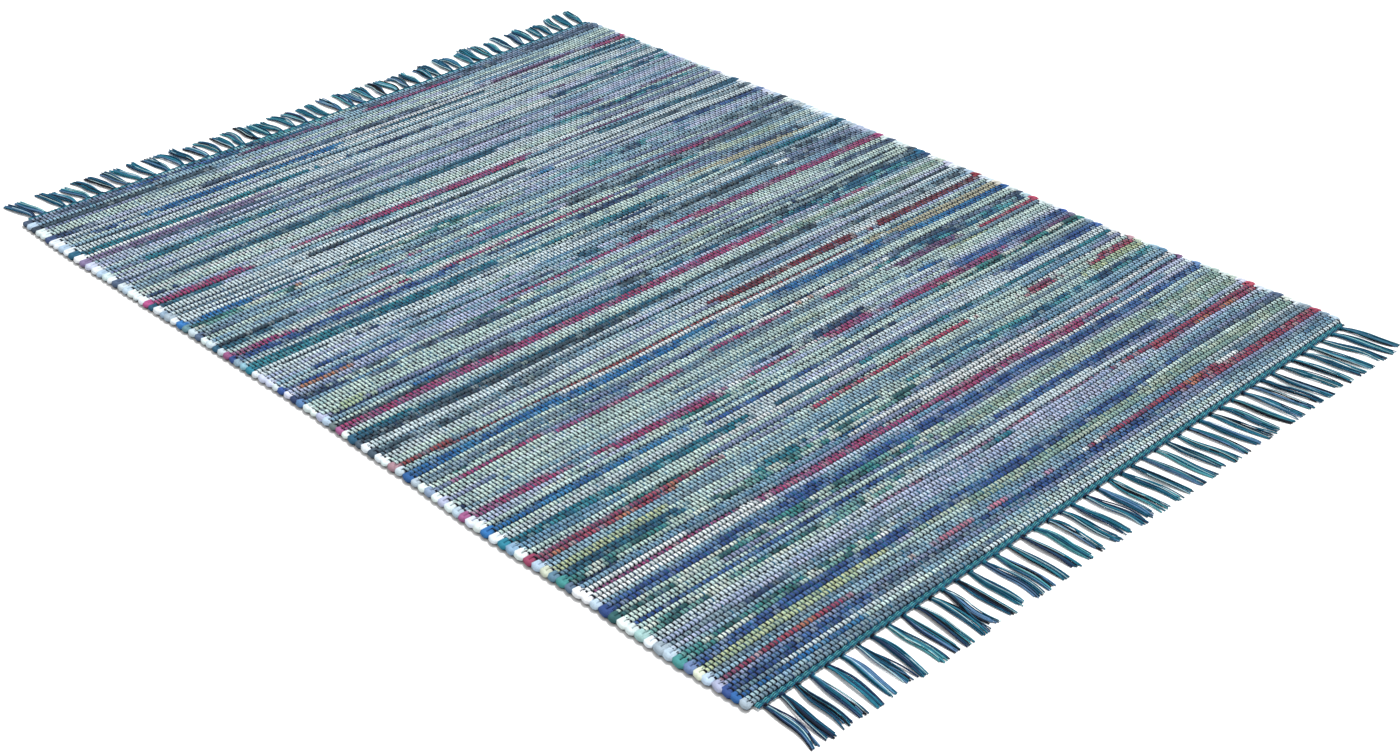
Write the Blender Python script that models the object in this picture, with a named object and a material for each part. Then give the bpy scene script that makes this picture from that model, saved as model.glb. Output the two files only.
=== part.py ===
"""A rag rug: a flat plain-woven cloth of rag weft on a cotton warp, with a knotted warp fringe at both ends.

Three solids lie flat on the floor: the woven cloth, and at each end a twined heading with its fringe.
X runs along the weft, Y along the warp from the near end to the far end, and Z is up.
The origin is on the floor, under the middle of the whole rug.
"""

import math
import random

import bmesh
import bpy

MM = 0.001

# The woven cloth
CLOTH_LENGTH = 1920 * MM  # from one heading to the other
WARP_WIDTH = 1372 * MM  # between the outermost warp groups
PICKS = 214  # passes of rag weft, each raised as one rib
RIB_TOP = 7.2 * MM  # top of a rib above the floor
RIB_VALLEY = 4.8 * MM  # top of the groove between two ribs
RIB_UNEVEN = 0.35 * MM  # how far thick and thin rags differ from that
PITCH_UNEVEN = 0.10  # how far a rib's width differs, as a share
ROW_WANDER = 2.0 * MM  # how far a row strays sideways in mid-rug
ROW_WANDER_ROWS = 31  # rows in one such stray
ROW_CALM = 0.03  # share of the length at either end where it fades out

# The selvedges, where each pair of picks turns round the outermost warp in one fat loop
LOOP_NOTCH = 5.0 * MM  # depth of the nick between two loops
LOOP_UNEVEN = 2.0 * MM
LOOP_WAIST = 3.4 * MM  # height of a loop's outermost point
LOOP_UNDERCUT = 4.0 * MM  # how far its underside stands back
LOOP_SHOULDER = 7.0 * MM  # how far its top stands back

# The twined headings
HEADING_DEPTH = 9.5 * MM  # along the warp
HEADING_TOP = 6.4 * MM
HEADING_FOOT = 6.0 * MM  # height of its outer face, where the tassels leave it
HEADING_GAP = 0.3 * MM  # parts it from the cloth

# The far end is drawn in by one wide bend
BEND_PLACE = 200 * MM  # right of the rug's middle
BEND_DEPTH = 12 * MM
BEND_REACH = 700 * MM  # where it ends on either side
BEND_FADE = 6  # power by which it fades towards the near end

# The fringes
TASSELS = 48  # at each end
TASSEL_INSET = 12 * MM  # from the outermost warp to the outer tassel's middle
NECK_WIDTH = 9 * MM  # where a tassel leaves the heading
NECK_LENGTH = 9 * MM
LOCKS = 3  # side by side in a tassel
LOCK_WIDTH = 4.1 * MM
LOCK_GAP = 0.9 * MM
LOCK_UNEVEN = 0.3 * MM
LOCK_SPREAD = 0.18  # how much further apart they are at their tips, as a share
LENGTH_UNEVEN = 0.03  # how far the locks of one tassel differ in length, as a share
TASSEL_SPACE = 1.5 * MM  # least clear space between neighbours

# Reach of the loops beyond the outermost warp, from the near end to the far end
SELVEDGE_REACH = [
    # (share of the length, left side in mm, right side in mm)
    (0.00, 15, 12),
    (0.08, 20, 15),
    (0.17, 18, 11),
    (0.28, 21, 9),
    (0.40, 15, 16),
    (0.53, 12, 18),
    (0.66, 15, 20),
    (0.80, 20, 12),
    (0.92, 24, 4),
    (1.00, 20, 1),
]

# A lock from the neck of its tassel, which is its root, to its tip
LOCK_RINGS = [
    # (share of its length, height in mm, share of its full width, share of its sideways stray)
    (0.00, 4.6, 1.00, 0.00),
    (0.34, 4.0, 1.02, 0.22),
    (0.68, 3.6, 0.98, 0.58),
    (1.00, 2.6, 0.80, 1.00),
]

FRINGES = {
    # length past the heading, shortest share of it, fan of the outer tassels left and right, sideways
    # stray of a tip, stray of a root, and roots set aside by hand as (tassel, mm)
    "near": {
        "length": 104 * MM,
        "shortest": 0.90,
        "fan": (-9 * MM, 17 * MM),
        "tip_stray": 3.5 * MM,
        "root_stray": 2.0 * MM,
        "set_aside": [(8, 2), (9, 4), (16, -3)],
        "seed": 7,
    },
    "far": {
        "length": 88 * MM,
        "shortest": 0.78,
        "fan": (-16 * MM, 16 * MM),
        "tip_stray": 6.0 * MM,
        "root_stray": 3.0 * MM,
        "set_aside": [(1, -5), (2, 7), (16, -5), (17, 6), (31, -3), (32, 4)],
        "seed": 19,
    },
}

OVERALL_LENGTH = (
    CLOTH_LENGTH
    + 2 * (HEADING_GAP + HEADING_DEPTH)
    + FRINGES["near"]["length"]
    + FRINGES["far"]["length"]
)
NEAR_EDGE = -OVERALL_LENGTH / 2 + FRINGES["near"]["length"] + HEADING_DEPTH + HEADING_GAP
FAR_EDGE = NEAR_EDGE + CLOTH_LENGTH

COLOURS = {
    # name: (red, green, blue, roughness)
    "rag_weft": (0.27, 0.38, 0.46, 0.9),
    "teal_cotton": (0.05, 0.17, 0.23, 0.85),
}


def clear_scene():
    for found in list(bpy.data.objects):
        bpy.data.objects.remove(found, do_unlink=True)


def cloth_material(name):
    red, green, blue, roughness = COLOURS[name]
    material = bpy.data.materials.new(name)
    material.use_nodes = True
    shader = material.node_tree.nodes["Principled BSDF"]
    shader.inputs["Base Color"].default_value = (red, green, blue, 1.0)
    shader.inputs["Roughness"].default_value = roughness
    shader.inputs["Metallic"].default_value = 0.0
    return material


def eased(table, at, column):
    """The table's column at a share of the way along it, eased from row to row."""
    for low, high in zip(table, table[1:]):
        if at <= high[0]:
            share = (at - low[0]) / (high[0] - low[0])
            share = (1 - math.cos(math.pi * min(max(share, 0), 1))) / 2
            return low[column] + share * (high[column] - low[column])
    return table[-1][column]


def far_bend(x):
    """How far the far end stands back at x, in a straight line from the bend to either side."""
    side = BEND_REACH + BEND_PLACE if x < BEND_PLACE else BEND_REACH - BEND_PLACE
    return BEND_DEPTH * max(0.0, 1 - abs(x - BEND_PLACE) / side)


def rib_rows():
    """The cross-lines from near to far: place along the cloth, height, fullness of the loops left and right."""
    luck = random.Random(3)
    widths = [1 + PITCH_UNEVEN * luck.uniform(-1, 1) for _ in range(PICKS)]
    scale = CLOTH_LENGTH / sum(widths)
    rows, y = [], 0.0
    for pick, width in enumerate(widths):
        in_left_loop = pick % 2 == 1
        rows.append((y, RIB_VALLEY, 1.0 if in_left_loop else 0.0, 0.0 if in_left_loop else 1.0))
        height = RIB_TOP + RIB_UNEVEN * luck.uniform(-1, 1)
        rows.append((y + width * scale / 2, height, 1.0, 1.0))
        y += width * scale
    rows.append((CLOTH_LENGTH, RIB_VALLEY, 0.0, 0.0))
    return rows


def cloth_section(row, number, luck):
    """One cross-line of the cloth: up round the left loop, over the top, down the right loop and back."""
    y, height, left_fullness, right_fullness = row
    share = y / CLOTH_LENGTH
    left = -WARP_WIDTH / 2 - eased(SELVEDGE_REACH, share, 1) * MM
    right = WARP_WIDTH / 2 + eased(SELVEDGE_REACH, share, 2) * MM
    left += LOOP_NOTCH * (1 - left_fullness) + LOOP_UNEVEN * luck.random()
    right -= LOOP_NOTCH * (1 - right_fullness) + LOOP_UNEVEN * luck.random()
    fade = min(1, share / ROW_CALM, (1 - share) / ROW_CALM)
    wander = ROW_WANDER * fade * math.sin(2 * math.pi * number / (2 * ROW_WANDER_ROWS))
    across = [
        (left + LOOP_UNDERCUT, 0.0, 0.0),
        (left, LOOP_WAIST, 0.0),
        (left + LOOP_SHOULDER, height, 0.0),
        (BEND_PLACE, height, wander),
        (right - LOOP_SHOULDER, height, 0.0),
        (right, LOOP_WAIST, 0.0),
        (right - LOOP_UNDERCUT, 0.0, 0.0),
        (BEND_PLACE, 0.0, 0.0),
    ]
    return [(x, NEAR_EDGE + y + aside - share**BEND_FADE * far_bend(x), z) for x, z, aside in across]


def build_cloth():
    """The woven cloth as one closed solid with a rib for each pick."""
    luck = random.Random(11)
    mesh = bmesh.new()
    sections = []
    for number, row in enumerate(rib_rows()):
        sections.append([mesh.verts.new(point) for point in cloth_section(row, number, luck)])
    for near, far in zip(sections, sections[1:]):
        bridge(mesh, near, far)
    mesh.faces.new(sections[0][::-1])
    mesh.faces.new(sections[-1])
    return mesh


def tassel_places(fringe):
    """Where each tassel leaves its heading and where its tip lies, left to right, clear of each other."""
    luck = random.Random(fringe["seed"])
    aside = dict(fringe["set_aside"])
    reach = WARP_WIDTH - 2 * TASSEL_INSET
    roots, tips = [], []
    for number in range(TASSELS):
        share = number / (TASSELS - 1)
        root = -reach / 2 + share * reach + luck.uniform(-1, 1) * fringe["root_stray"]
        root += aside.get(number, 0) * MM
        fan = fringe["fan"][0] + share * (fringe["fan"][1] - fringe["fan"][0])
        roots.append(root)
        tips.append(root + fan + luck.uniform(-1, 1) * fringe["tip_stray"])
    for places, spread in ((roots, 1.0), (tips, 1.0 + LOCK_SPREAD)):
        width = LOCK_WIDTH + (LOCKS - 1) * (LOCK_WIDTH + LOCK_GAP) * spread + 2 * LOCK_UNEVEN
        for number in range(1, TASSELS):
            places[number] = max(places[number], places[number - 1] + width + TASSEL_SPACE)
    return roots, tips


def heading_line(x, end):
    """Place along the rug of the heading's inner face at x."""
    if end == "near":
        return NEAR_EDGE - HEADING_GAP
    return FAR_EDGE + HEADING_GAP - far_bend(x)


def add_ring(mesh, points):
    return [mesh.verts.new(point) for point in points]


def bridge(mesh, ring, following):
    """Faces between two rings of as many points, wound for a solid that grows from the first."""
    count = len(ring)
    for i in range(count):
        j = (i + 1) % count
        mesh.faces.new((ring[i], ring[j], following[j], following[i]))


def add_lock(mesh, root, start, side, length, stray, outward):
    """One lock from its four root points, lying on the floor, bent sideways towards its tip."""
    ring = root
    for share, height, width_share, bend in LOCK_RINGS[1:]:
        half = LOCK_WIDTH * width_share / 2
        top = height * MM
        x = start[0] + side * (1 + LOCK_SPREAD * bend) + stray * bend
        y = start[1] + outward * length * share
        points = [(x - half, y, 0.0), (x - half, y, top), (x + half, y, top), (x + half, y, 0.0)]
        following = add_ring(mesh, points)
        bridge(mesh, ring, following)
        ring = following
    mesh.faces.new(ring)


def add_tassel(mesh, neck, root_x, tip_x, face_y, fringe, luck, outward):
    """A tassel from the four points of its neck on the heading, which flares into its locks' roots."""
    y = face_y + outward * NECK_LENGTH
    top = LOCK_RINGS[0][1] * MM
    lean = (tip_x - root_x) * NECK_LENGTH / fringe["length"]
    pitch = LOCK_WIDTH + LOCK_GAP
    sides = [(number - (LOCKS - 1) / 2) * pitch for number in range(LOCKS)]
    low, high = [], []
    for side in sides:
        for edge in (-LOCK_WIDTH / 2, LOCK_WIDTH / 2):
            x = root_x + lean + side + edge
            low.append(mesh.verts.new((x, y, 0.0)))
            high.append(mesh.verts.new((x, y, top)))
    bottom_left, top_left, top_right, bottom_right = neck
    mesh.faces.new((bottom_left, top_left, high[0], low[0]))
    mesh.faces.new((top_left, top_right, *high[::-1]))
    mesh.faces.new((top_right, bottom_right, low[-1], high[-1]))
    mesh.faces.new((bottom_right, bottom_left, *low))
    for number in range(LOCKS - 1):
        i = 2 * number + 1
        mesh.faces.new((low[i], high[i], high[i + 1], low[i + 1]))
    full = fringe["length"] - NECK_LENGTH
    cut = luck.uniform(fringe["shortest"], 1.0)
    for number, side in enumerate(sides):
        i = 2 * number
        root = [low[i], high[i], high[i + 1], low[i + 1]]
        length = full * min(1.0, cut + luck.uniform(-LENGTH_UNEVEN, LENGTH_UNEVEN))
        stray = tip_x - root_x - lean + luck.uniform(-1, 1) * LOCK_UNEVEN
        add_lock(mesh, root, (root_x + lean, y), side, length, stray, outward)


def build_fringe(end):
    """A heading and the tassels that leave it, as one closed solid."""
    fringe = FRINGES[end]
    outward = -1 if end == "near" else 1
    luck = random.Random(fringe["seed"] + 1)
    roots, tips = tassel_places(fringe)
    stations = [-WARP_WIDTH / 2]
    for root in roots:
        stations += [root - NECK_WIDTH / 2, root + NECK_WIDTH / 2]
    stations.append(WARP_WIDTH / 2)
    mesh = bmesh.new()
    rings = []
    for x in stations:
        inner = heading_line(x, end)
        outer = inner + outward * HEADING_DEPTH
        points = [(x, inner, 0.0), (x, inner, HEADING_TOP), (x, outer, HEADING_FOOT), (x, outer, 0.0)]
        rings.append(add_ring(mesh, points))
    mesh.faces.new(rings[0])
    mesh.faces.new(rings[-1][::-1])
    for i, (left, right) in enumerate(zip(rings, rings[1:])):
        mesh.faces.new((left[0], left[1], right[1], right[0]))
        mesh.faces.new((left[1], left[2], right[2], right[1]))
        mesh.faces.new((left[3], left[0], right[0], right[3]))
        is_neck = i % 2 == 1
        if is_neck:
            number = i // 2
            face_y = heading_line(roots[number], end) + outward * HEADING_DEPTH
            neck = [left[3], left[2], right[2], right[3]]
            add_tassel(mesh, neck, roots[number], tips[number], face_y, fringe, luck, outward)
        else:
            mesh.faces.new((left[2], left[3], right[3], right[2]))
    return mesh


def make_object(name, mesh, material):
    """An object of a mesh whose faces all point outwards, in loose triangles."""
    bmesh.ops.recalc_face_normals(mesh, faces=mesh.faces)
    bmesh.ops.triangulate(mesh, faces=mesh.faces)
    if mesh.calc_volume(signed=True) < 0:
        bmesh.ops.reverse_faces(mesh, faces=mesh.faces)
    data = bpy.data.meshes.new(name)
    mesh.to_mesh(data)
    mesh.free()
    made = bpy.data.objects.new(name, data)
    made.data.materials.append(material)
    bpy.context.scene.collection.objects.link(made)
    return made


def centre_on_floor(parts):
    """Moves the points of all parts so that the middle of their common box is over the origin."""
    points = [point.co for part in parts for point in part.data.vertices]
    for axis in (0, 1):
        middle = (min(p[axis] for p in points) + max(p[axis] for p in points)) / 2
        for point in points:
            point[axis] -= middle


def main():
    clear_scene()
    weft = cloth_material("rag_weft")
    cotton = cloth_material("teal_cotton")
    parts = [
        make_object("rug_cloth", build_cloth(), weft),
        make_object("fringe_near", build_fringe("near"), cotton),
        make_object("fringe_far", build_fringe("far"), cotton),
    ]
    centre_on_floor(parts)


main()
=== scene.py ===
"""The looks of a rag rug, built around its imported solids.

Rag weft is beaten up tight on a cotton warp. Each pick is a soft tube that rises over one group of warp yarns
and is pressed down by the next, and pairs of picks turn round the selvedges in fat loops. Each end has a
twined heading, and beyond it the warp ends hang in tassels.

X runs along the weft, Y along the warp from the near end to the far end, and Z is up. Sizes are in metres.
"""

import math
import random

import bpy
import numpy as np
from mathutils import Matrix, Vector


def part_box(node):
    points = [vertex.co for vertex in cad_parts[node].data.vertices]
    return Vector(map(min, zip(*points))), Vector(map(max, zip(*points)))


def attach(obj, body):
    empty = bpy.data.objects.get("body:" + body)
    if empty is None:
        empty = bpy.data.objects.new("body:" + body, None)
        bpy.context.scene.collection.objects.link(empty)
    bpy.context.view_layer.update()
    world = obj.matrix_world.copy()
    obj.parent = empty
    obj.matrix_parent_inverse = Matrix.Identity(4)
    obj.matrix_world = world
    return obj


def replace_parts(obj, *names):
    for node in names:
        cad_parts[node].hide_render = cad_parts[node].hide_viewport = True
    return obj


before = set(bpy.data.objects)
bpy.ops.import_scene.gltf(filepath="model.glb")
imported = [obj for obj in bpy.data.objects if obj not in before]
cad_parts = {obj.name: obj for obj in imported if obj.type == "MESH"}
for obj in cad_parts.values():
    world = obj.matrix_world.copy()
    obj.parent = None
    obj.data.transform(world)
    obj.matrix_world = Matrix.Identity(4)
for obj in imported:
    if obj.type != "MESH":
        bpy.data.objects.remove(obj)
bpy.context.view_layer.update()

MM = 0.001
CM = 0.01
FULL_TURN = 6.28  # in radians

# The woven cloth
NEAR_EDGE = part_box("rug_cloth")[0].y
CLOTH_LENGTH = 1920 * MM
WARP_WIDTH = 1372 * MM  # between the outermost warp groups
WARP_MIDDLE = 2 * MM  # the left loops reach further, so the warp stands a little right of the rug's middle
PICKS = 214
GROUPS = 187  # groups of warp yarns
GROUP_PITCH = WARP_WIDTH / (GROUPS - 1)
PITCH_UNEVEN = 0.10  # how far one pick is wider or narrower than the next, as a share
THIN_PICKS = (4, 12, 18, 31, 37, 47, 51, 55, 59, 66, 73, 87)  # counted from the far end
THIN_PICKS += (93, 105, 108, 122, 130, 137, 144, 154, 164, 175, 178, 193)
THINNESS = 0.62  # their width as a share; the picks beside them swell to fill the room
GROUP_STRAY = 0.7 * MM  # how far a warp group wanders to either side
GROUP_STRAY_REACH = (3, 14)  # how far apart its bends are, in groups and in picks
EDGE_STRAY = 0.3  # share of that stray which the outermost groups keep
WIDE_SWAY = 3.4 * MM  # how far the picks sway in wide waves
WIDE_SWAY_REACH = (13, 30)  # in picks and in groups
NARROW_SWAY = 1.9 * MM  # and in narrow ones
NARROW_SWAY_REACH = (1.6, 15)
CALM_SHARE = 0.04  # share of the length over which the sway dies out towards each end
PANELS = 6  # pieces in which the picks are made
BANDS = 4  # pieces in which the warp groups are made

# A pick, seen end on
PICK_FLATNESS = 0.80  # its height as a share of its width
PICK_SIDES = 5
CREST_FULLNESS = 1.10  # where it passes over a warp group
CREST_HEIGHT = 4.25 * MM  # height of its middle there
DIP_FULLNESS = 1.0  # where a warp group presses on it
DIP_HEIGHT = 3.9 * MM
FULLNESS_UNEVEN = 0.05
FULLNESS_REACH = (1, 5)  # in picks and in groups
DIP_PAINTED_SHADE = 0.72  # painted shade: how much darker a rag is painted where it is pressed down, against its own colour
CREST_PAINTED_HIGHLIGHT = 1.12  # and painted highlight: how much lighter it is painted at its crests
PICK_THICKEST = 5.4 * MM  # half its width where the picks part furthest

# A group of warp yarns, pressed together into one flat strand
GROUP_SIDES = 3
GROUP_THICKNESS = 1.65 * MM  # half its width
GROUP_FLATNESS = 0.5
EDGE_GROUP_FULLNESS = 1.25  # the outermost groups are thicker
GROUP_OVER = 6.9 * MM  # height where it lies on a pick
GROUP_UNDER = 1.0 * MM  # height where it passes beneath one
GROUP_REACH = 0.27  # how far it stays up on either side of a pick's middle, as a share of the pick's width
GROUP_END = 1 * MM  # how far it runs on past the first and the last pick
GROUP_END_HEIGHT = 2.5 * MM

# The selvedges
LOOP_SIDES = 8
LOOP_STEPS = 7  # points round its turn
LOOP_FLATNESS = 0.68
LOOP_FULLNESS = 1.12  # half its thickness, against half a pick's pitch
LOOP_NECK_FULLNESS = 0.92  # where it leaves the cloth
LOOP_ROOT_FULLNESS = 0.86  # where it ends inside its picks
LOOP_CROWN = 0.10  # how much fuller it is at its outermost point
LOOP_UNEVEN = 0.06
LOOP_THICKEST = 5.6 * MM
LOOP_LONG = 1.12  # its length along the edge, for a pick's pitch of 1
LOOP_BOW = 3 * MM
LOOP_SHORTEST = 0.5 * MM
LOOP_REACH_UNEVEN = 1 * MM
LOOP_HEIGHT = 4.5 * MM
LOOP_CLIMB = 0.3 * MM  # how much higher its far side lies than its middle
LOOP_SINK = 0.6 * MM  # how much lower it lies inside its picks
LOOP_LEAN = 7 * MM  # how far a loop leans towards the near end
LOOP_LEAN_UNEVEN = 0.4
LOOP_ROOT = 5 * MM  # how far it runs into its picks
LOOP_WHITE = (222, 222, 230)
LOOP_WHITE_SHARE = 0.4
LOOP_WHITE_FROM = 0.2  # brightness of the rags that start to look white there
LOOP_WHITE_OVER = 0.3  # and how much brighter those are that look it in full

# The far end is drawn in by one wide bend
BEND_PLACE = 200 * MM  # how far right of the warp's middle it is deepest
BEND_DEPTH = 12 * MM
BEND_REACH = 700 * MM  # how far it runs to either side of the warp's middle
BEND_FADE = 6  # how fast it dies out towards the near end, as a power

# The headings
HEADING_DEPTH = 9.5 * MM  # along the warp
HEADING_GAP = 0.3 * MM
TWINE_ROWS = 3
TWINE_SIDES = 4
TWINE_THICKNESS = 1.0 * MM
TWINE_THROW = 0.95 * MM  # how far a twined yarn swings to either side
TWINE_HEIGHT = 3.6 * MM
TWINE_STEPS = 8  # points in one full twist
TWINE_UNEVEN = 0.15  # how far its tone differs from point to point

# The fringes
TASSELS = 48
TASSEL_INSET = 12 * MM
LOCKS = 3  # in which the solids gather a tassel's yarns
LOCK_WIDTH = 4.1 * MM
LOCK_GAP = 0.9 * MM
LOCK_UNEVEN = 0.3 * MM
LOCK_SPREAD = 0.18  # how much wider the gaps are at the tips
TASSEL_SPACE = 1.5 * MM  # least room between two tassels
YARNS = 12  # in a tassel
BUNCHES = 4  # into which a tassel's yarns draw together
BUNCH_WIDTH = 0.8  # as a share of its room
BUNCH_STRAY = 2.0 * MM
YARN_STEPS = 12
YARN_SIDES = 4
YARN_FLATNESS = 0.75
YARN_UNEVEN = 0.2  # how far one yarn is thicker than the next
YARN_TONE_UNEVEN = 0.2
YARN_STRAY = 1.4 * MM
YARN_CURL = 0.6 * MM
LOOSE_CHANCE = 0.05  # share of the yarns that stray far from their bunch
LOOSE_STRAY = 8 * MM
LOOSE_CURL = 5  # how many times more they curl
NECK_HALF_WIDTH = 2.4 * MM  # of a tassel where it leaves the heading
NECK_DEPTH = 0.8  # how deep in the heading the yarns begin, as a share of its depth
OPENING = 2.4  # a tassel has opened in full after 1 / 2.4 of its length
OPENING_CURVE = 1.2
LAYER_LOW = 0.6 * MM  # height of a tassel's lowest yarns over the floor
LAYER_REACH = 3.2 * MM  # and how much higher its highest ones lie
TASSEL_BOW = 4.5 * MM  # how far a tassel bows to one side
TASSEL_BEND = 2.5 * MM  # and how far it bends to and fro
PALE_HIGHLIGHT_THICKNESS = 0.6  # a tassel's one pale yarn, against the others: a real pale yarn, and also a painted highlight for the tassel's sheen
TIP_UNEVEN = 0.06  # how far one yarn is cut longer than the next, as a share
TIP_REACH = 0.08  # share of a yarn over which it thins to its tip
TIP_THICKNESS = 0.8
LONGEST = 0.995  # of a yarn's full length, so that none passes the solids
KNOT_WRAPS = 2
KNOT_STEPS = 9
KNOT_SIDES = 5
KNOT_FLATNESS = 0.9
KNOT_HALF_WIDTH = 3.4 * MM
KNOT_WIDTH_UNEVEN = (0.9, 1.15)
KNOT_THICKNESS = 1.3 * MM
KNOT_THICKNESS_UNEVEN = (0.85, 1.1)
KNOT_START = 0.6 * MM  # how far the first wrap lies from the heading
KNOT_PITCH = 2.3 * MM
KNOT_SLANT = 1.4 * MM
KNOT_RISE = 3.6 * MM
KNOT_OVERLAP = 0.12  # how far a wrap runs on past half a turn at each end, in half turns
FRINGES = {
    "near": {
        "length": 104 * MM,
        "shortest": 0.90,  # as a share of the length
        "fan": (-9 * MM, 17 * MM),  # how far the tips lean to the right, at the left and the right end
        "tip_stray": 3.5 * MM,
        "root_stray": 2.0 * MM,
        "set_aside": [(8, 2), (9, 4), (16, -3)],  # tassels counted from the left, and mm to the right
        "seed": 7,
        "yarn": 1.5 * MM,  # half the thickness of a yarn
        "spread": 5.0 * MM,  # how far a tassel opens to either side
    },
    "far": {
        "length": 88 * MM,
        "shortest": 0.78,
        "fan": (-16 * MM, 16 * MM),
        "tip_stray": 6.0 * MM,
        "root_stray": 3.0 * MM,
        "set_aside": [(1, -5), (2, 7), (16, -5), (17, 6), (31, -3), (32, 4)],
        "seed": 19,
        "yarn": 1.85 * MM,
        "spread": 6.2 * MM,
    },
}

# Reach of the loops beyond the outermost warp, from the near end to the far end
SELVEDGE_REACH = [
    # (share of the length, left side in mm, right side in mm)
    (0.00, 15, 12),
    (0.08, 20, 15),
    (0.17, 18, 11),
    (0.28, 21, 9),
    (0.40, 15, 16),
    (0.53, 12, 18),
    (0.66, 15, 20),
    (0.80, 20, 12),
    (0.92, 24, 4),
    (1.00, 20, 1),
]

# The rags. A printed rag has several tones, which come in patches.
RAGS = {
    # name: tones in red, green and blue up to 255
    "white": [(230, 236, 238)],
    "ice": [(210, 226, 232)],
    "mint": [(206, 228, 220), (188, 214, 210), (198, 222, 220)],
    "mist": [(150, 184, 204), (168, 198, 208), (136, 170, 196)],
    "lavender": [(192, 200, 230), (172, 186, 220), (190, 206, 224)],
    "sky": [(130, 166, 192), (108, 150, 182)],
    "fog": [(136, 158, 172), (116, 142, 162)],
    "heath": [(144, 152, 186), (126, 140, 178)],
    "sage": [(162, 186, 166), (144, 176, 164), (182, 200, 182)],
    "lime": [(190, 204, 160), (172, 194, 160)],
    "sand": [(180, 176, 150)],
    "pink": [(172, 132, 162), (150, 160, 192), (184, 112, 136), (150, 184, 204)],
    "mauve": [(128, 110, 150)],
    "plum": [(114, 72, 116)],
    "magenta": [(154, 58, 112), (146, 74, 122), (160, 50, 102)],
    "crimson": [(160, 52, 80)],
    "garnet": [(122, 18, 32), (108, 26, 40)],
    "brick": [(134, 74, 82), (150, 60, 60)],
    "orange": [(184, 124, 92)],
    "teal": [(18, 110, 132), (44, 130, 146), (22, 88, 116)],
    "petrol": [(24, 76, 104), (42, 102, 126)],
    "azure": [(30, 102, 168), (56, 126, 180), (28, 84, 148)],
    "royal": [(42, 74, 146), (62, 98, 162), (36, 62, 126), (88, 122, 170)],
    "navy": [(26, 38, 84), (46, 64, 108)],
    "charcoal": [(40, 48, 62), (66, 82, 96), (48, 58, 70)],
    "slate": [(70, 86, 114), (92, 110, 136)],
    "sea": [(56, 132, 130), (188, 214, 204), (36, 88, 88), (212, 224, 214), (116, 168, 162)],
    "ember": [(152, 50, 80), (140, 44, 74), (164, 62, 82), (146, 50, 84), (184, 112, 84), (124, 54, 88)],
    "dusk": [(78, 94, 122), (108, 126, 156), (58, 70, 94), (138, 154, 184)],
    "tide": [(28, 92, 128), (70, 150, 160), (22, 56, 96), (140, 188, 198)],
    "gravel": [(78, 98, 112), (118, 138, 150), (56, 70, 84), (150, 172, 184)],
}

# The pale rags that make up the ground, from the far end: each holds until the next line
GROUND = [
    # (first pick from the far end, rag)
    (0, "mist"),
    (6, "mint"),
    (10, "lavender"),
    (13, "ice"),
    (17, "mist"),
    (19, "ice"),
    (21, "mist"),
    (23, "ice"),
    (26, "lavender"),
    (29, "ice"),
    (31, "mist"),
    (33, "lavender"),
    (39, "mint"),
    (41, "mist"),
    (43, "mint"),
    (47, "ice"),
    (51, "mist"),
    (53, "ice"),
    (60, "lavender"),
    (65, "mist"),
    (68, "mint"),
    (71, "mist"),
    (76, "mint"),
    (80, "mist"),
    (82, "mint"),
    (87, "ice"),
    (91, "mist"),
    (96, "lavender"),
    (99, "mint"),
    (108, "mist"),
    (114, "ice"),
    (115, "mint"),
    (118, "mist"),
    (120, "ice"),
    (122, "mist"),
    (124, "ice"),
    (127, "mint"),
    (131, "ice"),
    (134, "mint"),
    (147, "ice"),
    (149, "lavender"),
    (153, "mint"),
    (157, "ice"),
    (161, "mint"),
    (173, "mist"),
    (176, "white"),
    (180, "lavender"),
    (184, "mint"),
    (192, "ice"),
    (194, "lavender"),
    (197, "mist"),
    (199, "mint"),
    (204, "mist"),
    (207, "heath"),
    (210, "ice"),
    (211, "mist"),
    (213, "ice"),
]

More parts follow.
